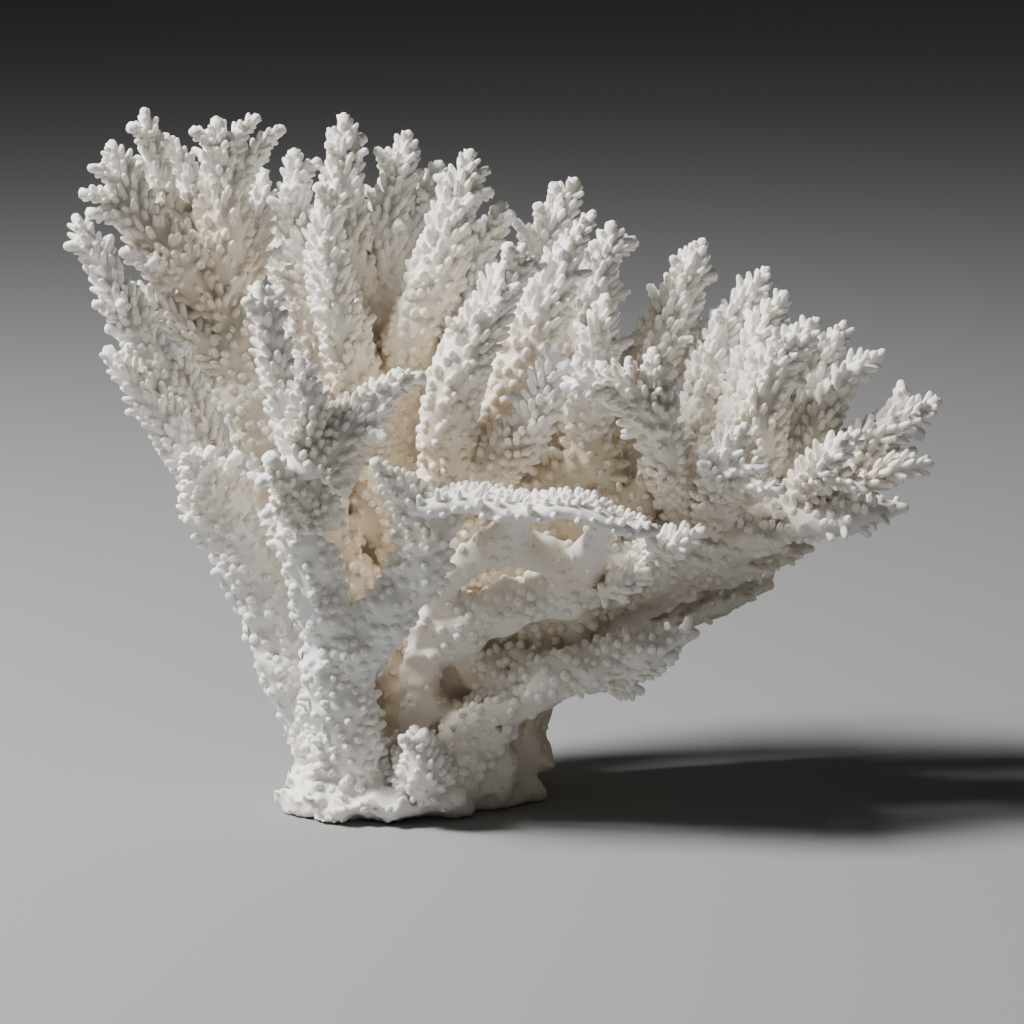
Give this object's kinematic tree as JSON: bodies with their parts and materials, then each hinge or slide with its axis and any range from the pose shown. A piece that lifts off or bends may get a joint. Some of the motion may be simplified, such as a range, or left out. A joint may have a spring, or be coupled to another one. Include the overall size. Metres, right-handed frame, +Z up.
{
  "type": "branching coral",
  "caption": "Bleached branching stony coral, a leaning fan of knobbly fronds on stout limbs, cut off flat at the foot to stand on a shelf.",
  "frame": {"origin": "middle of the flat cut face under the foot", "axes": "+Z up, +X towards the long leaning side of the colony, +Y away from the side with the stout front limbs"},
  "size_m": [0.213, 0.1063, 0.173],
  "materials": {
    "skeleton": "matt bleached limestone skeleton, white at the tips and cream low down"
  },
  "bodies": {
    "root": {"base": "skeleton", "left_limb": "skeleton", "front_limb": "skeleton", "front_left_limb": "skeleton", "front_right_limb": "skeleton", "front_ridge": "skeleton", "strut": "skeleton", "under_limb": "skeleton", "inner_limb": "skeleton", "inner_right_limb": "skeleton", "low_right_limb": "skeleton", "back_left_limb": "skeleton", "back_mid_limb": "skeleton", "mid_limb": "skeleton", "right_limb": "skeleton", "far_right_limb": "skeleton", "right_shelf_low": "skeleton", "right_shelf_mid": "skeleton", "right_shelf_edge": "skeleton", "rear_limb": "skeleton", "rear_right_limb": "skeleton", "left_arm": "skeleton", "left_inner_twig": "skeleton", "upper_left_hand": "skeleton", "upper_left_fan": "skeleton", "centre_left_fan": "skeleton", "tall_fan": "skeleton", "centre_spire": "skeleton", "centre_right": "skeleton", "front_slender": "skeleton", "front_lobe_right": "skeleton", "front_sweep": "skeleton", "middle_sweep": "skeleton", "middle_leaf": "skeleton", "centre_right_spire": "skeleton", "right_front_spire": "skeleton", "hooked_branch": "skeleton", "right_fan": "skeleton", "right_blade": "skeleton", "right_bright": "skeleton", "right_crest": "skeleton", "right_tip_fan": "skeleton", "right_tip_low": "skeleton", "right_front_fan": "skeleton", "right_front_lobe": "skeleton", "front_shelf_lobe": "skeleton", "rear_left_fan": "skeleton", "rear_sweep": "skeleton", "rear_right_spire": "skeleton", "rear_right_fan": "skeleton", "rear_right_tip": "skeleton"}
  },
  "joints": []
}
